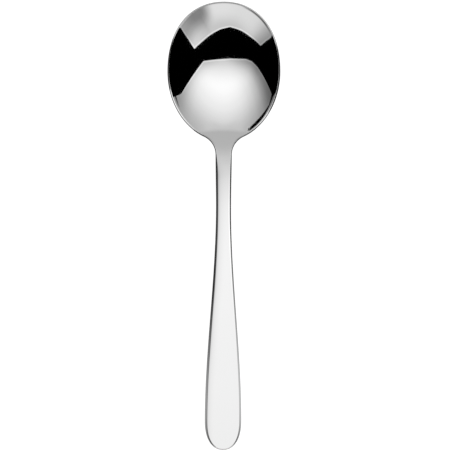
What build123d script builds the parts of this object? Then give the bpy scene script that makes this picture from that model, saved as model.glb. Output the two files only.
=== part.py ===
from build123d import *
import os
from math import cos, degrees, exp, log, radians, sin, sqrt, tan

# A round-bowled soup spoon in polished steel, lying on a table with its bowl up.
# Millimetres. X runs across, Y along the spoon with the bowl's tip at +Y, Z up from the table.
# The origin is on the table, below the middle of the spoon's length.

# Overall
spoon_length = 180.0

# Bowl
bowl_length = 56.0  # tip to where the rim oval would close behind the neck
bowl_width = 45.2
bowl_depth = 9.8  # lowest point of the hollow below the rim
bowl_thickness = 1.6  # at the hollow's lowest point
rim_thickness = 1.2  # the steel thins from there up to the rim
rim_tilt = 6.0  # degrees that the rim falls towards the tip
tip_fullness = 0.61  # pull of the outline's curve handles at the tip, where 0.55 is an ellipse
wall_steepness = 0.1  # share of the hollow's depth that rises with the fourth power

# Neck and handle
neck_width = 6.5
shoulder_radius = 8.0  # inside curve from the bowl's outline to the neck
neck_thickness = 3.4
neck_softness = 2.0  # how broadly the hollow rolls over into the handle
waist_width = 6.0  # narrowest place
waist_from_tip = 82.5
grip_width = 14.7  # broadest place, near the end
end_length = 11.6  # rounded stretch that closes the handle
end_fullness = 0.62  # pull of its curve handles
end_thickness = 2.0
handle_crown = 0.35  # rise of the handle's middle over its edges at the grip
crest_height = 21.0  # top of the handle's arch above the table, before it is softened
crest_from_tip = 84.0
crest_softness = 8.0  # how broadly the arch turns over

# Edges and the joint
upper_edge_radius = 0.4
lower_edge_radius = 0.6
joint_setback = 2.0  # from the end of the shoulder curve to the plane where bowl and handle meet

# Places along Y
tip = spoon_length / 2
end = -spoon_length / 2
half_bowl_length = bowl_length / 2
half_bowl_width = bowl_width / 2
bowl_centre = tip - half_bowl_length
neck = tip - bowl_length
waist = tip - waist_from_tip
crest = tip - crest_from_tip
grip = end + end_length

# The outline is cut out of a sheet that is wider and longer than the spoon.
sheet_margin = 4.0
row_steps = 47
column_steps = 10
surface_tolerance = 0.02
surface_degree = 5
fairness = (1, 1, 1)  # equal weight to short length, low curvature and even curvature
difference_step = 0.01  # for slopes


def smooth_step(start, finish, y):
    """0 at start, 1 at finish, with no jump in slope or curvature."""
    t = min(max((y - start) / (finish - start), 0.0), 1.0)
    return t**3 * (t * (6 * t - 15) + 10)


def soft_ramp(y, softness):
    """0 far below y = 0 and y far above it, with a rounded corner."""
    return max(y, 0.0) + softness * log(1 + exp(-abs(y) / softness))


def soft_min(a, b, softness):
    return a - soft_ramp(a - b, softness)


def hollow_depth(x, y):
    """How far the hollow lies below the rim: 1 at the bowl's middle, 0 all along the rim."""
    along = (y - bowl_centre) / half_bowl_length
    tip_spread = 1.5 * tip_fullness**2 / (1 - tip_fullness) - 1
    fuller = 1 + tip_spread * max(along, 0.0) ** 4
    ratio = along**2 + (x / half_bowl_width) ** 2 / fuller
    return 1 - (1 - wall_steepness) * ratio - wall_steepness * ratio**2


def above_the_rim_middle(x, y):
    """Height of the hollow's surface against the rim's height at the bowl's middle."""
    return (bowl_centre - y) * tan(radians(rim_tilt)) - bowl_depth * hollow_depth(x, y)


# The bowl's underside touches the table at its lowest point, which the tilt moves towards the tip.
bowl_steps = 200
lowest = min(above_the_rim_middle(0, bowl_centre + half_bowl_length * i / bowl_steps) for i in range(bowl_steps))
rim_height = bowl_thickness - lowest

# The arch rises from the rim's height at the neck and falls to the table at the handle's end.
neck_height = rim_height + half_bowl_length * tan(radians(rim_tilt))
rise = (crest_height - neck_height) / (neck - crest)
first_fall = (crest_height - end_thickness) / (crest - end)
end_height = end_thickness * sqrt(1 + first_fall**2)  # plumb thickness of the sloping end
fall = (crest_height - end_height) / (crest - end)


def dish(x, y):
    return rim_height + above_the_rim_middle(x, y)


def arch(y):
    """The handle's middle line, which turns up past the neck so that it stays clear of the hollow."""
    over_crest = crest_height + fall * (y - crest) - (fall + rise) * soft_ramp(y - crest, crest_softness)
    return over_crest + 2 * rise * soft_ramp(y - neck, neck_softness)


def top_height(x, y):
    """The upper surface: the hollow, which rolls over at the neck into the crowned handle."""
    handle_share = smooth_step(neck + neck_width / 2, neck - neck_width, y)
    middle = soft_min(dish(0, y), arch(y), neck_softness)
    hollow = dish(x, y) - dish(0, y)
    crown = handle_crown * (x / (grip_width / 2)) ** 2
    return middle + (1 - handle_share) * hollow - handle_share * crown


def thickness(x, y):
    towards_neck = smooth_step(neck + neck_width * 2, neck - neck_width / 2, y)
    towards_end = smooth_step(neck, end, y)
    handle = neck_thickness + (end_thickness - neck_thickness) * towards_end
    bowl = rim_thickness + (bowl_thickness - rim_thickness) * hollow_depth(x, y)
    return bowl + (handle - bowl) * towards_neck


def bottom_height(x, y):
    """The underside, one thickness below the upper surface, measured square to it."""
    h = difference_step
    slope_x = (top_height(x + h, y) - top_height(x - h, y)) / (2 * h)
    slope_y = (top_height(x, y + h) - top_height(x, y - h)) / (2 * h)
    return top_height(x, y) - thickness(x, y) * sqrt(1 + slope_x**2 + slope_y**2)


def sheet_half_width(y):
    handle = grip_width / 2 + sheet_margin
    bowl = half_bowl_width + sheet_margin
    return handle + (bowl - handle) * smooth_step(neck - 2 * sheet_margin, bowl_centre - 2 * sheet_margin, y)


# Rows of points, at even steps along the spoon and across it
rows = [tip + sheet_margin - (spoon_length + 2 * sheet_margin) * i / row_steps for i in range(row_steps + 1)]
shares = [2 * i / column_steps - 1 for i in range(column_steps + 1)]


def sheet_face(height):
    points = [[Vector(s * sheet_half_width(y), y, height(s * sheet_half_width(y), y)) for s in shares] for y in rows]
    return Face.make_surface_from_array_of_points(
        points, tol=surface_tolerance, smoothing=fairness, max_deg=surface_degree
    )


upper_face = sheet_face(top_height)
lower_face = sheet_face(bottom_height)


def shoulder_gap(angle):
    """How far the shoulder curve that touches the bowl's oval at this angle clears the neck's side."""
    reach = sqrt((cos(angle) / half_bowl_width) ** 2 + (sin(angle) / half_bowl_length) ** 2)
    across = cos(angle) * (half_bowl_width + shoulder_radius / (half_bowl_width * reach))
    return across - shoulder_radius - neck_width / 2


# Halve the range until the shoulder curve meets the neck's side.
first_angle = radians(45)
last_angle = radians(90)
for halving in range(40):
    shoulder_angle = (first_angle + last_angle) / 2
    if shoulder_gap(shoulder_angle) > 0:
        first_angle = shoulder_angle
    else:
        last_angle = shoulder_angle
reach = sqrt((cos(shoulder_angle) / half_bowl_width) ** 2 + (sin(shoulder_angle) / half_bowl_length) ** 2)
shoulder_x = half_bowl_width * cos(shoulder_angle)
shoulder_y = bowl_centre - half_bowl_length * sin(shoulder_angle)
root = shoulder_y - shoulder_radius * sin(shoulder_angle) / (half_bowl_length * reach)

# The outline seen from above, from the tip down each side to the handle's end
outline = []
for side in (1, -1):
    bowl_x = side * half_bowl_width
    neck_x = side * neck_width / 2
    waist_x = side * waist_width / 2
    grip_x = side * grip_width / 2
    front_pull = bowl_centre + half_bowl_length * tip_fullness
    neck_pull = (root - waist) / 3
    grip_pull = (waist - grip) / 3
    end_pull = grip - end_length * end_fullness
    outline += [
        Bezier((0, tip), (bowl_x * tip_fullness, tip), (bowl_x, front_pull), (bowl_x, bowl_centre)),
        EllipticalCenterArc(
            (0, bowl_centre),
            half_bowl_width,
            half_bowl_length,
            start_angle=90 - side * 90,
            arc_size=-side * degrees(shoulder_angle),
        ),
        RadiusArc((side * shoulder_x, shoulder_y), (neck_x, root), -side * shoulder_radius),
        Bezier((neck_x, root), (neck_x, root - neck_pull), (waist_x, waist + neck_pull), (waist_x, waist)),
        Bezier((waist_x, waist), (waist_x, waist - grip_pull), (grip_x, grip + grip_pull), (grip_x, grip)),
        Bezier((grip_x, grip), (grip_x, end_pull), (grip_x * end_fullness, end), (0, end)),
    ]
plan = Face(Wire(outline))

# The whole spoon as one blank: the outline through the sheet, with both edges eased all round
with BuildPart() as blank:
    extrude(Pos(0, 0, -crest_height) * plan, amount=2 * crest_height, dir=(0, 0, 1), clean=False)
    split(bisect_by=upper_face, keep=Keep.BOTTOM)
    split(bisect_by=lower_face, keep=Keep.TOP)
    broad_faces = blank.faces().sort_by(SortBy.AREA)[-2:].sort_by(Axis.Z)
    fillet(broad_faces[-1].edges(), radius=upper_edge_radius)
    broad_faces = blank.faces().sort_by(SortBy.AREA)[-2:].sort_by(Axis.Z)
    fillet(broad_faces[0].edges(), radius=lower_edge_radius)

# Bowl and handle meet face to face on one plane across the neck.
joint = Plane((0, root - joint_setback, 0), x_dir=(1, 0, 0), z_dir=(0, 1, 0))

with BuildPart() as bowl:
    add(blank.part)
    split(bisect_by=joint, keep=Keep.TOP)
bowl.part.label = "bowl"

with BuildPart() as handle:
    add(blank.part)
    split(bisect_by=joint, keep=Keep.BOTTOM)
handle.part.label = "handle"

os.makedirs("parts", exist_ok=True)
export_step(bowl.part, "parts/bowl.step")
export_step(handle.part, "parts/handle.step")
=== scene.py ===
# %% [markdown]
# A soup spoon, pressed from one blank of stainless steel and polished until it is a mirror.
# A mirror shows every flaw of its mesh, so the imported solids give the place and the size,
# and the visible surface is made again as one even net of quads.

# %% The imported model
from math import atan2, cos, exp, log, pi, radians, sin, sqrt, tan

import bmesh
import bpy
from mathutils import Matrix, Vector, kdtree


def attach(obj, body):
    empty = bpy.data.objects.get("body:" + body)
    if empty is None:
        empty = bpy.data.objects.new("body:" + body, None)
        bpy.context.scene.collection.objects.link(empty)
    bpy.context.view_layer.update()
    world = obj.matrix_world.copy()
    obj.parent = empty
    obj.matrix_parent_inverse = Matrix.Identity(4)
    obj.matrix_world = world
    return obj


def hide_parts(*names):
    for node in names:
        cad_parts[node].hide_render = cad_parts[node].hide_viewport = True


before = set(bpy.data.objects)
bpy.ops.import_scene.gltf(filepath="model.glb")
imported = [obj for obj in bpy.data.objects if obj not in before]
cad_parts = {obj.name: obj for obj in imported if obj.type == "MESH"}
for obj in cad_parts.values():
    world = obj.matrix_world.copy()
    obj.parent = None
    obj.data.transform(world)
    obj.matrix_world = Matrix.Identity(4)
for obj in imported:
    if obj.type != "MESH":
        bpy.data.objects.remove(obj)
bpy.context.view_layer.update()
MM = 0.001  # sizes here are in millimetres, and Blender's objects are in metres

# %% [markdown]
# The spoon's sizes, in millimetres, are those of the solid model. X runs across, Y along the
# spoon with the bowl's tip at +Y, and Z up from the table that the spoon lies on.

# %% Sizes
spoon_length = 180.0
bowl_length = 56.0
bowl_width = 45.2
bowl_depth = 9.8
bowl_thickness = 1.6
rim_thickness = 1.2
rim_tilt = 6.0  # degrees that the rim falls towards the tip
tip_fullness = 0.61  # pull of the outline's curve handles at the tip
wall_steepness = 0.1  # share of the hollow's depth that rises with the fourth power
neck_width = 6.5
shoulder_radius = 8.0
neck_thickness = 3.4
neck_softness = 2.0  # how broadly the hollow rolls over into the handle
waist_width = 6.0
waist_from_tip = 82.5
grip_width = 14.7
end_length = 11.6
end_fullness = 0.62  # pull of the curve handles at the handle's end
end_thickness = 2.0
handle_crown = 0.35  # rise of the handle's middle over its edges at the grip
crest_height = 21.0  # top of the handle's arch, before it is softened
crest_from_tip = 84.0
crest_softness = 8.0
joint_setback = 2.0  # from the end of the shoulder curve to the plane where bowl and handle meet

tip = spoon_length / 2
end = -spoon_length / 2
half_length = bowl_length / 2
half_width = bowl_width / 2
bowl_centre = tip - half_length
neck = tip - bowl_length
waist = tip - waist_from_tip
crest = tip - crest_from_tip
grip = end + end_length
print("bowl", bowl_width, "by", bowl_length, "mm, neck at", neck, "waist at", waist, "grip at", grip)

# %% [markdown]
# The hollow of a spoon is stamped with a polished punch, so it is very even. It could be
# sculpted or turned from a profile. Here its height is a formula, because then the mirror has
# no ripple: the hollow falls from an even rim, rolls over softly at the neck, and becomes a
# low arch that is slightly crowned from side to side.

# %% Upper surface
BOWL_STEPS = 200  # places along the bowl where its lowest point is looked for


def smooth_step(start, finish, y):
    t = min(max((y - start) / (finish - start), 0.0), 1.0)
    return t**3 * (t * (6 * t - 15) + 10)


def soft_ramp(y, softness):
    return max(y, 0.0) + softness * log(1 + exp(-abs(y) / softness))


def hollow_depth(x, y):
    along = (y - bowl_centre) / half_length
    fuller = 1 + (1.5 * tip_fullness**2 / (1 - tip_fullness) - 1) * max(along, 0.0) ** 4
    ratio = along**2 + (x / half_width) ** 2 / fuller
    return 1 - (1 - wall_steepness) * ratio - wall_steepness * ratio**2


def hollow(x, y):
    return (bowl_centre - y) * tan(radians(rim_tilt)) - bowl_depth * hollow_depth(x, y)


lowest = min(hollow(0, bowl_centre + half_length * i / BOWL_STEPS) for i in range(BOWL_STEPS))
rim_height = bowl_thickness - lowest
neck_height = rim_height + half_length * tan(radians(rim_tilt))
rise = (crest_height - neck_height) / (neck - crest)
first_fall = (crest_height - end_thickness) / (crest - end)
fall = (crest_height - end_thickness * sqrt(1 + first_fall**2)) / (crest - end)


def arch(y):
    over_crest = crest_height + fall * (y - crest) - (fall + rise) * soft_ramp(y - crest, crest_softness)
    return over_crest + 2 * rise * soft_ramp(y - neck, neck_softness)


def top_height(x, y):
    handle_share = smooth_step(neck + neck_width / 2, neck - neck_width, y)
    middle = rim_height + hollow(0, y)
    middle -= soft_ramp(middle - arch(y), neck_softness)
    crown = handle_crown * (x / (grip_width / 2)) ** 2
    return middle + (1 - handle_share) * (hollow(x, y) - hollow(0, y)) - handle_share * crown


print("rim at", round(rim_height, 2), "mm, crest at", round(top_height(0, crest), 2), "mm")

# %% [markdown]
# The underside lies one thickness below the upper surface, measured square to it. The steel is
# thin at the rim, thickest at the neck, where a spoon would bend, and thinner again towards
# the handle's end. A Solidify modifier gives one thickness all over, so this is a formula too.

# %% Underside
SLOPE_STEP = 0.01  # millimetres to each side of the place where a slope is measured


def thickness(x, y):
    in_handle = neck_thickness + (end_thickness - neck_thickness) * smooth_step(neck, end, y)
    in_bowl = rim_thickness + (bowl_thickness - rim_thickness) * hollow_depth(x, y)
    handle_share = smooth_step(neck + neck_width * 2, neck - neck_width / 2, y)
    return in_bowl + (in_handle - in_bowl) * handle_share


def bottom_height(x, y):
    h = SLOPE_STEP
    slope_x = (top_height(x + h, y) - top_height(x - h, y)) / (2 * h)
    slope_y = (top_height(x, y + h) - top_height(x, y - h)) / (2 * h)
    return top_height(x, y) - thickness(x, y) * sqrt(1 + slope_x**2 + slope_y**2)


in_the_bowl = round(thickness(0, bowl_centre), 2)
print("steel", in_the_bowl, "mm in the bowl,", round(thickness(0, waist), 2), "mm at the waist")

# %% [markdown]
# Seen from above the outline is a few fair curves: a full tip, a half oval, a small inside
# curve at each shoulder, a long swell and a rounded end. The shoulder is an arc that touches
# both the oval and the neck's side. Where it touches the oval is found by halving a range.

# %% Shoulder curve
HALVINGS = 40


def oval(angle):
    return half_width * cos(angle), bowl_centre - half_length * sin(angle)


def oval_out(angle):
    return Vector((cos(angle) / half_width, -sin(angle) / half_length)).normalized()


low_angle = radians(45)
high_angle = radians(90)
for halving in range(HALVINGS):
    shoulder = (low_angle + high_angle) / 2
    centre_x = oval(shoulder)[0] + shoulder_radius * oval_out(shoulder).x
    if centre_x > shoulder_radius + neck_width / 2:
        low_angle = shoulder
    else:
        high_angle = shoulder
shoulder_out = oval_out(shoulder)
centre = Vector(oval(shoulder)) + shoulder_radius * shoulder_out
root = centre.y
print("shoulder curve ends at", round(root, 2), "mm")

# %% [markdown]
# The right half of the outline is sampled from tip to end, and the left half is its mirror
# image. Each sample also gets the direction that points straight out of the outline, from
# its neighbours on both sides. A curve object could be sampled instead, but these samples
# become the rows of the net, so their number on each stretch is chosen here.

# %% Outline
TIP_ROWS = 70
OVAL_ROWS = 76
SHOULDER_ROWS = 22
NECK_ROWS = 34
GRIP_ROWS = 110
END_ROWS = 46


def bezier(p, u):
    a, b, c, d = (1 - u) ** 3, 3 * u * (1 - u) ** 2, 3 * u * u * (1 - u), u**3
    return tuple(a * p[0][i] + b * p[1][i] + c * p[2][i] + d * p[3][i] for i in (0, 1))


outline = []
pull = bowl_centre + half_length * tip_fullness
tip_curve = ((0, tip), (half_width * tip_fullness, tip), (half_width, pull), (half_width, bowl_centre))
for i in range(TIP_ROWS):
    outline.append(bezier(tip_curve, i / TIP_ROWS))
for i in range(OVAL_ROWS):
    outline.append(oval(shoulder * i / OVAL_ROWS))
start = Vector((1, 0)).angle(shoulder_out)
for i in range(SHOULDER_ROWS):
    angle = start * (1 - i / SHOULDER_ROWS)
    outline.append((centre.x - shoulder_radius * cos(angle), centre.y + shoulder_radius * sin(angle)))
swells = (
    ((neck_width / 2, root), (waist_width / 2, waist), NECK_ROWS),
    ((waist_width / 2, waist), (grip_width / 2, grip), GRIP_ROWS),
)
for (x0, y0), (x1, y1), swell_rows in swells:
    third = (y0 - y1) / 3
    swell = ((x0, y0), (x0, y0 - third), (x1, y1 + third), (x1, y1))
    for i in range(swell_rows):
        outline.append(bezier(swell, i / swell_rows))
half_grip = grip_width / 2
pull = grip - end_length * end_fullness
end_curve = ((half_grip, grip), (half_grip, pull), (half_grip * end_fullness, end), (0, end))
for i in range(END_ROWS + 1):
    outline.append(bezier(end_curve, i / END_ROWS))

first_left, last_left = [(-x, y) for x, y in (outline[1], outline[-2])]
path = [first_left] + outline + [last_left]
outward = []
for before, after in zip(path, path[2:]):
    way = (Vector(after) - Vector(before)).normalized()
    outward.append(Vector((-way.y, way.x)))
print("outline of", len(outline), "rows")

# %% [markdown]
# The edge is eased all round, so that it doesn't cut the lips: a narrow ground round on the
# bowl, and one on the handle that is wider than the solid model's, to match the edge lines in
# the photograph. A bevel has one width, and this round widens along the neck, so it is worked
# out point by point, from the slope with which each face comes to the edge.

# %% Eased edge
ROUND = 8  # quads on each eased corner
EDGE = 2 * ROUND + 1  # steps from the upper face over the edge to the lower one
BOWL_ROUND_ABOVE = 0.4
BOWL_ROUND_BELOW = 0.6
HANDLE_ROUND = 0.95
HANDLE_ROUND_STARTS = neck + 2
HANDLE_ROUND_FULL = neck - 14
PROBE = 0.5  # millimetres from the edge over which a face's slope is measured


def towards_handle(y):
    return smooth_step(HANDLE_ROUND_STARTS, HANDLE_ROUND_FULL, y)


def edge_radius(y, on_top):
    bowl_round = BOWL_ROUND_ABOVE if on_top else BOWL_ROUND_BELOW
    return bowl_round + (HANDLE_ROUND - bowl_round) * towards_handle(y)


def inset(row, amount):
    (x, y), out = outline[row], outward[row]
    return max(x - amount * out.x, 0.0), y - amount * out.y


def edge_tilt(row, height):
    return atan2(height(*outline[row]) - height(*inset(row, PROBE)), PROBE)


def edge_point(row, step):
    on_top = step <= ROUND
    height, turn = (top_height, step / ROUND) if on_top else (bottom_height, (EDGE - step) / ROUND)
    radius = edge_radius(outline[row][1], on_top)
    up = 1 if on_top else -1
    start = up * edge_tilt(row, height)
    angle = start - (start + pi / 2) * turn  # of the surface's direction, leaning inwards
    foot = height(*inset(row, radius * (1 + sin(start))))
    x, y = inset(row, radius * (1 + sin(angle)))
    return Vector((x, y, foot + up * radius * (cos(angle) - cos(start))))


print("edge at the tip from", edge_point(0, 0), "to", edge_point(0, EDGE))

# %% [markdown]
# Each cross-section runs over the top, round the right edge, back along the underside and
# round the left edge. Sections could be bridged one by one. One grid holds them all instead:
# its columns go round the section and its rows go from tip to end.

# %% Cross-sections
ACROSS = 48  # quads across each face
COLUMNS = 2 * (ACROSS + EDGE)


def section_point(row, column):
    side = 1
    if column > 2 * ACROSS + EDGE:
        side, column = -1, 2 * (ACROSS + EDGE) - column + ACROSS
    if ACROSS < column < ACROSS + EDGE:
        point = edge_point(row, column - ACROSS)
        return Vector((side * point.x, point.y, point.z))
    on_top = column <= ACROSS
    corner = edge_point(row, 0 if on_top else EDGE)
    share = 2 * column / ACROSS - 1 if on_top else 1 - 2 * (column - ACROSS - EDGE) / ACROSS
    x, y = side * share * corner.x, corner.y
    return Vector((x, y, top_height(x, y) if on_top else bottom_height(x, y)))


print("section of", COLUMNS, "columns, first point at the bowl's widest", section_point(TIP_ROWS, 0))

# %% [markdown]
# The rim has a rougher finish and painted reflection lines of its own, which follow its distance
# from the edge. The mesh therefore carries that distance as an attribute, in millimetres. A tree
# of the outline's samples finds the nearest one, and the distance is measured along its outward direction.

# %% Distance from the edge
PAST_RIM = 2.0  # where the rim's finish and its painted reflections have ended
border = kdtree.KDTree(len(outline))
for i, (x, y) in enumerate(outline):
    border.insert((x, y, 0), i)
border.balance()


def from_edge(point):
    i = border.find((abs(point.x), point.y, 0))[1]
    return (Vector(outline[i]) - Vector((abs(point.x), point.y))).dot(outward[i])


print("the upper round ends", round(from_edge(edge_point(TIP_ROWS, 0)), 2), "mm from the edge")

# %% [markdown]
# Now the grid is wrapped into the spoon's skin. Its first and last columns meet at the left
# edge, and its first and last rows close to a line, so merging doubles leaves one closed skin.
# The underside and the handle count as past the rim.

# %% Skin
GRID_HALF = 0.5  # half the grid's width before it is wrapped
SAME_POINT = 0.0005  # millimetres within which points are merged
rows = len(outline) - 1
skin = bmesh.new()
rim_layer = skin.verts.layers.float.new("from_edge")
bmesh.ops.create_grid(skin, x_segments=COLUMNS, y_segments=rows, size=GRID_HALF)
for vertex in skin.verts:
    column = round((vertex.co.x + GRID_HALF) * COLUMNS)
    row = round((GRID_HALF - vertex.co.y) * rows)
    point = section_point(row, column)
    vertex.co = point * MM
    underneath = ACROSS + EDGE <= column <= 2 * ACROSS + EDGE
    distance = PAST_RIM if underneath else from_edge(point)
    vertex[rim_layer] = min(distance + PAST_RIM * towards_handle(point.y), PAST_RIM)
bmesh.ops.remove_doubles(skin, verts=skin.verts, dist=SAME_POINT * MM)
bmesh.ops.recalc_face_normals(skin, faces=skin.faces)
skin.normal_update()
open_edges = sum(1 for edge in skin.edges if not edge.is_manifold)
print("skin:", len(skin.verts), "points,", len(skin.faces), "faces, open edges:", open_edges)

# %% [markdown]
# The solid model has a bowl and a handle that meet on a plane across the neck, so the skin is
# cut there and each half is closed. The real spoon has no seam. To hide the cut, the surface
# directions are noted on the whole skin first and given back to both halves.

# %% Bowl and handle
ON_PLANE = 1e-7  # metres within which a point counts as on the cut
direction = skin.verts.layers.float_vector.new("surface_direction")
for vertex in skin.verts:
    vertex[direction] = vertex.normal
joint = (root - joint_setback) * MM


def half_of_skin(name, node, keep_bowl):
    part = skin.copy()
    geometry = part.verts[:] + part.edges[:] + part.faces[:]
    bmesh.ops.bisect_plane(
        part, geom=geometry, dist=ON_PLANE, plane_co=(0, joint, 0), plane_no=(0, 1, 0),
        clear_inner=keep_bowl, clear_outer=not keep_bowl,
    )
    cut = [edge for edge in part.edges if edge.is_boundary]
    bmesh.ops.holes_fill(part, edges=cut, sides=0)
    for face in part.faces:
        face.smooth = True
    mesh = bpy.data.meshes.new(name)
    part.to_mesh(mesh)
    part.free()
    noted = mesh.attributes["surface_direction"]
    mesh.normals_split_custom_set_from_vertices([Vector(item.vector).normalized() for item in noted.data])
    mesh.attributes.remove(mesh.attributes["surface_direction"])
    piece = bpy.data.objects.new(name, mesh)
    bpy.context.collection.objects.link(piece)
    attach(piece, "root")
    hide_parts(node)
    print(name, len(mesh.vertices), "points, closing face over", len(cut), "edges")
    return piece


bowl = half_of_skin("spoon_bowl", "bowl", True)
handle = half_of_skin("spoon_handle", "handle", False)
skin.free()

# %% [markdown]
# A material is a small network of nodes. A few helpers keep it short. One turns a colour as a
# screen shows it into the linear colour that light adds up in, one adds a node with its
# settings and links, and one paints a level along a measure, smoothly through a few stops.

# %% Node helpers
def linear(hex_colour):
    channels = [int(hex_colour[i : i + 2], 16) / 255 for i in (1, 3, 5)]
    return tuple(c / 12.92 if c <= 0.04045 else ((c + 0.055) / 1.055) ** 2.4 for c in channels) + (1.0,)


def add(tree, kind, *values, options={}, **named):
    node = tree.nodes.new(kind)
    for name, value in options.items():
        setattr(node, name, value)
    sockets = list(zip(node.inputs, values))
    sockets += [(node.inputs[name.replace("_", " ")], value) for name, value in named.items()]
    for socket, value in sockets:
        if isinstance(value, bpy.types.NodeSocket):
            tree.links.new(value, socket)
        else:
            socket.default_value = value
    return node


def new_material(name):
    material = bpy.data.materials.new(name)
    material.use_nodes = True
    material.node_tree.nodes.clear()
    return material, material.node_tree


def fade(tree, measure, unit, stops):
    first, last = stops[0][0], stops[-1][0]
    share = add(tree, "ShaderNodeMapRange", measure, first * unit, last * unit).outputs[0]
    ramp = add(tree, "ShaderNodeValToRGB", share)
    ramp.color_ramp.interpolation = "CARDINAL"
    elements = ramp.color_ramp.elements
    while len(elements) < len(stops):
        elements.new(0.5)
    for element, (value, level) in zip(elements, stops):
        element.position = (value - first) / (last - first)
        element.color = (level, level, level, 1.0)
    return ramp.outputs["Color"]


WHITE = linear("#FFFFFF")
print("white is", WHITE)

# %% [markdown]
# The steel is 18/10 stainless, pressed, ground and buffed. Buffing leaves a mirror with a very
# slight haze, in cloudy patches, and hairlines along the spoon that only show where a
# reflection has an edge. They could be a bump, but they are too shallow to bend a reflection,
# so they only make the mirror a little rougher.

# %% Polished stainless steel
# Real hairlines are some 0.02 mm apart, too fine to show, so they are drawn coarser.
HAIRLINE_SPACING = 1 / 6
HAIRLINE_LENGTH = 20.0
HAZE_PATCH = 11.11
CLEAREST, HAZIEST = 0.02, 0.06  # roughness
FAINTEST, STRONGEST = 0.1, 0.45  # the range that the two patterns multiply to
steel, tree = new_material("polished_stainless_steel")
place = add(tree, "ShaderNodeTexCoord").outputs["Object"]
crossing, running = 1 / (HAIRLINE_SPACING * MM), 1 / (HAIRLINE_LENGTH * MM)
drawn = add(tree, "ShaderNodeMapping", Vector=place, Scale=(crossing, running, crossing)).outputs["Vector"]
hairlines = add(tree, "ShaderNodeTexNoise", Vector=drawn, Scale=1.0, Detail=2.0).outputs["Fac"]
haze = add(tree, "ShaderNodeTexNoise", Vector=place, Scale=1 / (HAZE_PATCH * MM), Detail=3.0).outputs["Fac"]
both = add(tree, "ShaderNodeMath", hairlines, haze, options={"operation": "MULTIPLY"}).outputs[0]
polish = add(tree, "ShaderNodeMapRange", both, FAINTEST, STRONGEST, CLEAREST, HAZIEST).outputs[0]
print("hairlines", round(HAIRLINE_SPACING, 2), "mm apart, haze in patches of", HAZE_PATCH, "mm")

# %% [markdown]
# The rim is ground on a belt and buffed less, so it is duller than the hollow, which its roughness gives.
# The lines in its colour are painted reflections: at the tip and at the neck one grey line that
# clears inwards, along the sides a bright line inside the grey one, and to the right of the tip a
# dark one. They stand for fine reflections that this plain round doesn't give. Strips of mesh with
# their own materials would end abruptly, and the distance from the edge lets the lines run into each other.

# %% Ground rim, with painted reflections
RIM_ROUGHNESS = 0.10
ROUGH_RIM, SMOOTH_RIM = 0.4, 0.5  # from the edge, where the belt's marks begin to clear and are gone
CORNER_STARTS, CORNER_FULL = 95, 97.5  # X plus Y, to the right of the tip
SIDES_SLANT = 0.3  # of X, so that the left side's painted reflection starts nearer to the tip than the right one's
SIDES_START, SIDES_FULL = 86, 78  # Y plus the slant, going down from the tip
NECK_NONE, NECK_FULL = 35, 43  # Y where the sides' painted reflection is gone at the neck, and where it is whole
STEEL_COLOUR = linear("#D0D0D0")
clean = STEEL_COLOUR[0]
rim = add(tree, "ShaderNodeAttribute", options={"attribute_name": "from_edge"}).outputs["Fac"]
rough = add(tree, "ShaderNodeMapRange", rim, SMOOTH_RIM, ROUGH_RIM, polish, RIM_ROUGHNESS).outputs[0]
# the rim's colour holds painted reflections: a grey line at the tip and neck, a dark one right of the tip, a
# bright one along the sides
tip_rim_painted_reflection = fade(tree, rim, 1.0, ((0.0, 0.32), (0.35, 0.38), (0.7, 0.54), (1.1, clean)))
corner_painted_reflection = fade(tree, rim, 1.0, ((0.0, 0.42), (0.4, 0.55), (0.6, 0.20), (1.0, 0.20), (1.35, clean)))
side_reflection_stops = ((0.0, 0.34), (0.3, 0.38), (0.5, 0.76), (0.85, 0.76), (1.1, 0.60), (1.5, clean))
side_painted_reflection = fade(tree, rim, 1.0, side_reflection_stops)
x, y = add(tree, "ShaderNodeSeparateXYZ", place).outputs[:2]
corner = add(tree, "ShaderNodeMath", x, y, options={"operation": "ADD"}).outputs[0]
corner_reflection_mask = add(tree, "ShaderNodeMapRange", corner, CORNER_STARTS * MM, CORNER_FULL * MM).outputs[0]
end_painted_reflection = add(tree, "ShaderNodeMapRange", corner_reflection_mask, To_Min=tip_rim_painted_reflection, To_Max=corner_painted_reflection).outputs[0]
slant = add(tree, "ShaderNodeMath", x, SIDES_SLANT, y, options={"operation": "MULTIPLY_ADD"}).outputs[0]
off_tip = add(tree, "ShaderNodeMapRange", slant, SIDES_START * MM, SIDES_FULL * MM).outputs[0]
off_neck = add(tree, "ShaderNodeMapRange", y, NECK_NONE * MM, NECK_FULL * MM).outputs[0]
sides = add(tree, "ShaderNodeMath", off_tip, off_neck, options={"operation": "MULTIPLY"}).outputs[0]
# the steel's colour, with the painted reflection lines laid in along the rim
colour = add(tree, "ShaderNodeMapRange", sides, To_Min=end_painted_reflection, To_Max=side_painted_reflection).outputs[0]
metal = add(tree, "ShaderNodeBsdfPrincipled", Base_Color=colour, Metallic=1.0, Roughness=rough)
add(tree, "ShaderNodeOutputMaterial", Surface=metal.outputs[0])
for piece in (bowl, handle):
    piece.data.materials.append(steel)
print("steel on", bowl.name, "and", handle.name)

# %% [markdown]
# The studio is built from flat sheets, each a few corners and a face. A large one may have a
# hem, an inset ring of faces with a second material. The first sheet is a light table of white
# acrylic, lit from below, so that the ground is white and has no hard shadow. It is full white
# to the camera and dimmer in the steel, because otherwise the underside would melt into it.

# %% Light table
TABLE_REACH = 4000  # from the middle to each side
TABLE_TOP = -0.05  # just under the spoon
LEVEL_IN_STEEL = 0.5


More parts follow.
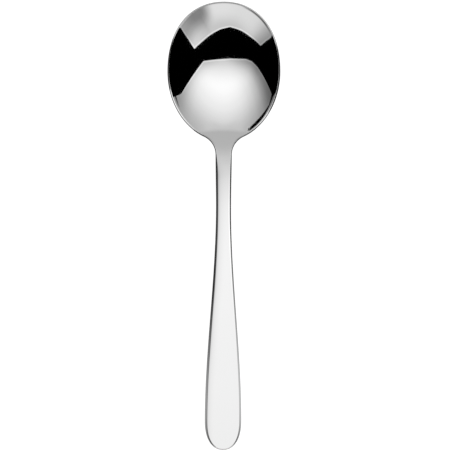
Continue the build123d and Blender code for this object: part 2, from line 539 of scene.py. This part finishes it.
def stage_sheet(name, corners, materials, hem=0.0):
    plate = bmesh.new()
    plate.faces.new([plate.verts.new(Vector(corner) * MM) for corner in corners])
    if hem:
        plate.normal_update()
        ring = bmesh.ops.inset_region(
            plate, faces=plate.faces[:], thickness=hem * MM, use_boundary=True, use_even_offset=True
        )
        for face in ring["faces"]:
            face.material_index = 1
    mesh = bpy.data.meshes.new(name)
    plate.to_mesh(mesh)
    plate.free()
    sheet = bpy.data.objects.new(name, mesh)
    bpy.context.collection.objects.link(sheet)
    for material in materials:
        mesh.materials.append(material)
    print(name, "with", len(corners), "corners and a hem of", hem, "mm")
    return sheet


acrylic, tree = new_material("lit_white_acrylic")
seen = add(tree, "ShaderNodeLightPath").outputs["Is Camera Ray"]
bright = add(tree, "ShaderNodeMapRange", seen, To_Min=LEVEL_IN_STEEL, To_Max=1.0).outputs[0]
glow = add(tree, "ShaderNodeEmission", WHITE, bright).outputs[0]
scatter = add(tree, "ShaderNodeBsdfDiffuse", linear("#8A8A8A")).outputs[0]
add(tree, "ShaderNodeOutputMaterial", add(tree, "ShaderNodeAddShader", glow, scatter).outputs[0])
quarters = ((-1, -1), (1, -1), (1, 1), (-1, 1))
table_corners = [(x * TABLE_REACH, y * TABLE_REACH, TABLE_TOP) for x, y in quarters]
stage_sheet("light_table", table_corners, [acrylic])

# %% [markdown]
# A mirror is lit by what it reflects. Two large soft panels hang over the table, one beyond
# the bowl and one over the handle, with a dark gap between them where the camera looks
# through. Their edges draw the dark band and the bright dome in the hollow. A lamp behind a
# cloth gives light that is brightest in one place and fades to the sides, so each panel is
# painted by the angle from the bowl: down from straight above, and round from the spoon's length.

# %% Painting light
DEGREE = radians(1)
BOWL_EYE = Vector((0, 66, 4)) * MM  # in the hollow, where the angles are measured


def angles_from_bowl(tree, place, facing):
    away = add(tree, "ShaderNodeVectorMath", place, BOWL_EYE, options={"operation": "SUBTRACT"}).outputs[0]
    x, y, z = add(tree, "ShaderNodeSeparateXYZ", away).outputs
    ahead = add(tree, "ShaderNodeMath", y, facing, options={"operation": "MULTIPLY"}).outputs[0]
    flat = add(tree, "ShaderNodeCombineXYZ", x, y, 0.0).outputs[0]
    reach = add(tree, "ShaderNodeVectorMath", flat, options={"operation": "LENGTH"}).outputs["Value"]
    down = add(tree, "ShaderNodeMath", reach, z, options={"operation": "ARCTAN2"}).outputs[0]
    around = add(tree, "ShaderNodeMath", x, ahead, options={"operation": "ARCTAN2"}).outputs[0]
    return down, around


def together(tree, *shares):
    light = shares[0]
    for share in shares[1:]:
        light = add(tree, "ShaderNodeMath", light, share, options={"operation": "MULTIPLY"}).outputs[0]
    return light


def left_over(tree, *shares):
    lost = together(tree, *shares)
    return add(tree, "ShaderNodeMath", 1.0, lost, options={"operation": "SUBTRACT"}).outputs[0]


print("angles are measured from", BOWL_EYE)

# %% [markdown]
# A panel is cloth that glows as its paint says. The paint gives the strength of the light and
# how much of the cloth is there at all. Round the large panels runs a hem that catches more of
# the lamp and draws a fine bright line at the borders of the reflections. All of them are
# hidden from the camera, which would otherwise see the handle's card and not the handle.

# %% Panels
FULL = 1.0 / STEEL_COLOUR[0]  # a panel of this strength shows as white in the steel
HEM_GAIN = 1.35


def glowing_cloth(name, paint, gain):
    material, tree = new_material(name)
    place = add(tree, "ShaderNodeTexCoord").outputs["Object"]
    strength, cover = paint(tree, place)
    glow = add(tree, "ShaderNodeEmission", WHITE, together(tree, strength, FULL * gain)).outputs[0]
    gone = add(tree, "ShaderNodeBsdfTransparent").outputs[0]
    add(tree, "ShaderNodeOutputMaterial", add(tree, "ShaderNodeMixShader", cover, gone, glow).outputs[0])
    return material


def panel(name, corners, paint, hem=0.0):
    materials = [glowing_cloth(name + "_cloth", paint, 1.0)]
    if hem:
        materials.append(glowing_cloth(name + "_hem", paint, HEM_GAIN))
    sheet = stage_sheet(name, corners, materials, hem)
    sheet.visible_camera = False


print("a panel shows as white at strength", round(FULL, 2))

# %% [markdown]
# The far panel makes the bright dome. It is brightest 28 degrees from straight above, is
# dimmer at its near edge and towards the horizon, and loses light to both sides, more on the
# left. Low in its middle is a slightly dim place, which shows where the bowl rolls over into
# the neck. Its outline is where the borders of the dome come from.

# %% Far panel
PANEL_HEIGHT = 500
FAR_HEM = 14
WIDE_UNTIL, NARROW_FROM, NARROWEST = 40, 80, 0.71  # degrees down, and the share of the width left
SIDE_LOSS_FULL = 52  # degrees down
DIM_STARTS, DIM_FULL = 62, 65.5  # degrees down


def far_light(tree, place):
    down, around = angles_from_bowl(tree, place, 1.0)
    y = add(tree, "ShaderNodeSeparateXYZ", place).outputs["Y"]
    near = fade(tree, y, MM, (
        (66, 0.52), (80, 0.57), (100, 0.635), (132, 0.715), (177, 0.83), (224, 0.91), (273, 0.97), (330, 1.0),
    ))
    over = fade(tree, down, DEGREE, (
        (28, 0.985), (36, 0.945), (45, 0.87), (53, 0.80), (60, 0.71), (64, 0.655), (67, 0.605), (72, 0.535),
        (77, 0.48), (82, 0.45), (90, 0.43),
    ))
    # the sides close in towards the horizon, so the angle is stretched to end at 90 everywhere
    closing = (WIDE_UNTIL * DEGREE, NARROW_FROM * DEGREE, 1.0, NARROWEST)
    width = add(tree, "ShaderNodeMapRange", down, *closing).outputs[0]
    even = add(tree, "ShaderNodeMath", around, width, options={"operation": "DIVIDE"}).outputs[0]
    lost = fade(tree, even, DEGREE, (
        (-90, 0.75), (-80, 0.63), (-70, 0.40), (-58, 0.22), (-46, 0.12), (-34, 0.05), (-20, 0.02), (0, 0.0),
        (45, 0.0), (58, 0.03), (70, 0.15), (84, 0.34),
    ))
    off_top = add(tree, "ShaderNodeMapRange", down, 0.0, SIDE_LOSS_FULL * DEGREE).outputs[0]
    low = add(tree, "ShaderNodeMapRange", down, DIM_STARTS * DEGREE, DIM_FULL * DEGREE).outputs[0]
    middle = fade(tree, around, DEGREE, ((-22, 0.0), (-10, 0.09), (10, 0.09), (22, 0.0)))
    return together(tree, near, over, left_over(tree, lost, off_top), left_over(tree, low, middle)), 1.0


far_outline = (
    (305, 95), (120, 80), (-85, 70), (-340, 75), (-470, 100), (-655, 180), (-1030, 395), (-2300, 1140),
    (-3375, 1795), (-3475, 2150), (-2950, 2165), (-2425, 2150), (-1875, 2100), (-1435, 2000), (-1105, 1845),
    (-950, 1700), (-3500, 6500), (9000, 6500), (9000, 4740), (5490, 2850), (1555, 920), (735, 385),
    (475, 210),
)
panel("far_panel", [(x, y, PANEL_HEIGHT) for x, y in far_outline], far_light, FAR_HEM)

# %% [markdown]
# The near panel hangs over the handle and makes the grey crescent at the tip. It fades towards
# its left side, and something dim stands before it on the right: a hump, whose upper edge is
# highest at 40 degrees and sinks to both sides.

# %% Near panel
NEAR_HEM = 20
HUMP_TOP = 40  # degrees round from the spoon's length
HUMP_SLOPE = 0.33  # degrees that its edge sinks for each degree from its top


def near_light(tree, place):
    down, around = angles_from_bowl(tree, place, -1.0)
    over = fade(tree, down, DEGREE, (
        (34, 0.56), (38, 0.585), (43, 0.65), (48, 0.705), (54, 0.735), (70, 0.72), (90, 0.70),
    ))
    across = fade(tree, around, DEGREE, (
        (-90, 0.28), (-82, 0.32), (-74, 0.45), (-66, 0.70), (-58, 0.87), (-46, 0.94), (-20, 0.96), (0, 1.0),
    ))
    hump = fade(tree, around, DEGREE, (
        (14, 0.0), (20, 0.33), (26, 0.75), (33, 1.0), (50, 1.0), (60, 0.88), (72, 0.74),
    ))
    top = HUMP_TOP * DEGREE
    aside = add(tree, "ShaderNodeMath", around, top, options={"operation": "SUBTRACT"}).outputs[0]
    off_top = add(tree, "ShaderNodeMath", aside, options={"operation": "ABSOLUTE"}).outputs[0]
    sinking = {"operation": "MULTIPLY_ADD"}
    below = add(tree, "ShaderNodeMath", off_top, -HUMP_SLOPE, down, options=sinking).outputs[0]
    depth = fade(tree, below, DEGREE, (
        (31, 0.0), (36, 0.085), (41, 0.26), (46, 0.475), (51, 0.645), (56, 0.70), (70, 0.62),
    ))
    return together(tree, over, across, left_over(tree, hump, depth)), 1.0


near_outline = (
    (1270, -395), (780, -175), (525, -35), (350, -100), (180, -175), (45, -230), (-90, -260), (-260, -225),
    (-470, -165), (-805, -95), (-1155, -195), (-2080, -410), (-7000, -1400), (-7000, -6000), (7000, -6000),
    (7000, -2400),
)
panel("near_panel", [(x, y, PANEL_HEIGHT) for x, y in near_outline], near_light, NEAR_HEM)

# %% [markdown]
# A card close over the handle gives it its even satin white, darker towards the neck. The
# card also draws the handle's edges: it darkens where the left edge is reflected, and it has
# a bright streak beyond the right one. Thin geometry could do that too, but the lines follow
# the handle's width, and a painted card can widen and fade with it. A second card leads down
# over the neck and thins out there, so that no border shows.

# %% Handle card
CARD_HEIGHT = 24
NECK_CARD_START = 34
NECK_CARD_END = 60
NECK_CARD_LOW = 19.1  # its end still clears the spoon's highest point
THIN_FROM = 56
REACH_UNIT = 100  # millimetres that a level of 1 stands for, since a ramp holds levels up to 1
STREAK_STARTS, STREAK_FULL = -0.9, 0.1  # millimetres beyond the reflection of the right edge


def card_light(tree, place):
    x, y = add(tree, "ShaderNodeSeparateXYZ", place).outputs[:2]
    along = fade(tree, y, MM, (
        (-112, 0.85), (-78, 0.87), (-56, 0.88), (-16, 0.905), (2, 0.89), (11, 0.84), (21, 0.73), (28, 0.62),
        (33, 0.55), (37, 0.485), (41, 0.45), (60, 0.44),
    ))
    # half the width of the handle's reflection on the card
    reach = fade(tree, y, MM, (
        (-87, 0.114), (-60, 0.09), (-34, 0.06), (-7, 0.039), (20, 0.036), (25, 0.04), (29, 0.06), (33, 0.11),
        (38, 0.22), (44, 0.4), (56, 0.8),
    ))
    width = together(tree, reach, REACH_UNIT * MM)
    inside = add(tree, "ShaderNodeMath", x, width, options={"operation": "ADD"}).outputs[0]
    left_edge = fade(tree, inside, MM, (
        (-1.5, 0.08), (-0.5, 0.13), (0.2, 0.32), (0.7, 0.54), (1.2, 0.71), (1.6, 0.81), (2.0, 0.875),
        (2.5, 0.92), (3.2, 0.95), (4.2, 0.98), (5.5, 1.0),
    ))
    beyond = add(tree, "ShaderNodeMath", x, width, options={"operation": "SUBTRACT"}).outputs[0]
    far_out = add(tree, "ShaderNodeMapRange", beyond, STREAK_STARTS * MM, STREAK_FULL * MM).outputs[0]
    lit = fade(tree, y, MM, ((-60, 0.0), (-34, 0.10), (-6, 0.30), (12, 0.30), (22, 0.18), (30, 0.0)))
    streak = add(tree, "ShaderNodeMath", far_out, lit, 1.0, options={"operation": "MULTIPLY_ADD"}).outputs[0]
    thinning = {"interpolation_type": "SMOOTHSTEP"}
    gone, full = NECK_CARD_END * MM, THIN_FROM * MM
    cover = add(tree, "ShaderNodeMapRange", y, gone, full, options=thinning).outputs[0]
    return together(tree, along, left_edge, streak), cover


card_outline = (
    (-13, -112), (14, -112), (14, -40), (8.6, -10), (8.6, 24), (8, NECK_CARD_START), (-13, NECK_CARD_START),
)
panel("handle_card", [(x, y, CARD_HEIGHT) for x, y in card_outline], card_light)
neck_card_corners = (
    (-6, NECK_CARD_START, CARD_HEIGHT),
    (8, NECK_CARD_START, CARD_HEIGHT),
    (7, NECK_CARD_END, NECK_CARD_LOW),
    (-7, NECK_CARD_END, NECK_CARD_LOW),
)
panel("neck_card", neck_card_corners, card_light)

# %% [markdown]
# Between the card and the table stands a dark strip on each side of the handle. The round of
# the handle's edge sees it, and that draws the thin dark lines along the edges. The strips
# are lighter beside the grip, where the lines are fainter, and dark again at the end's corners.

# %% Side strips
STRIP_START, STRIP_END = -114, 37
LEFT_STRIP, RIGHT_STRIP = -13, 15
left_levels = ((-110, 0.40), (-101, 0.18), (-93, 0.09), (-80, 0.32), (-55, 0.20), (-30, 0.03), (0, 0.04))
right_levels = ((-110, 0.50), (-101, 0.28), (-93, 0.15), (-80, 0.46), (-55, 0.44), (-30, 0.24), (0, 0.07))


def strip_light(levels):
    def paint(tree, place):
        y = add(tree, "ShaderNodeSeparateXYZ", place).outputs["Y"]
        return fade(tree, y, MM, levels), 1.0

    return paint


for name, x, levels in (("left_strip", LEFT_STRIP, left_levels), ("right_strip", RIGHT_STRIP, right_levels)):
    foot = [(x, STRIP_START, 0), (x, STRIP_END, 0)]
    head = [(x, STRIP_END, CARD_HEIGHT), (x, STRIP_START, CARD_HEIGHT)]
    panel(name, foot + head, strip_light(levels))

# %% [markdown]
# Two small black flags hang just over the rim, where the bowl is widest. The rounded rim
# would shine there like a white thread, and with the flags it goes dark.

# %% Rim flags
FLAG_HEIGHT = 17
right_flag = ((18, 74), (17, 47), (23, 44), (29, 52), (30, 74))
left_flag = ((-29, 56), (-18, 56), (-17, 74), (-22, 79), (-29, 77))


def black(tree, place):
    return 0.0, 1.0


for name, plan in (("right_flag", right_flag), ("left_flag", left_flag)):
    panel(name, [(x, y, FLAG_HEIGHT) for x, y in plan], black)

# %% [markdown]
# The rest of the room is dark, which the steel shows as black. A camera that looks past the
# table sees the same white as the table.

# %% Room
world = bpy.data.worlds.new("studio")
bpy.context.scene.world = world
world.use_nodes = True
tree = world.node_tree
tree.nodes.clear()
seen = add(tree, "ShaderNodeLightPath").outputs["Is Camera Ray"]
room = add(tree, "ShaderNodeBackground", WHITE, seen)
add(tree, "ShaderNodeOutputWorld", room.outputs[0])
bpy.context.scene.view_settings.view_transform = "Standard"
print("room", world.name, "shown with the", bpy.context.scene.view_settings.view_transform, "view")

# %% [markdown]
# The photograph looks straight down on the spoon, from far enough away that nothing tapers. The
# lens follows from the camera's height and the width of table that the picture takes in.

# %% Camera
CAMERA_HEIGHT = 1500.0
CAMERA_X, CAMERA_Y = 0.60, 0.52
CAMERA_ROLL = 0.14  # degrees, because the spoon doesn't lie quite straight in the picture
FRAME_WIDTH = 181.2  # millimetres of table across the picture
SENSOR_WIDTH = 36.0
eye = bpy.data.cameras.new("camera")
eye.sensor_width = SENSOR_WIDTH
eye.lens = SENSOR_WIDTH * CAMERA_HEIGHT / FRAME_WIDTH
camera = bpy.data.objects.new("camera", eye)
camera.location = Vector((CAMERA_X, CAMERA_Y, CAMERA_HEIGHT)) * MM
camera.rotation_euler = (0, 0, radians(CAMERA_ROLL))
bpy.context.collection.objects.link(camera)
bpy.context.scene.camera = camera
print("lens", round(eye.lens, 1), "mm")
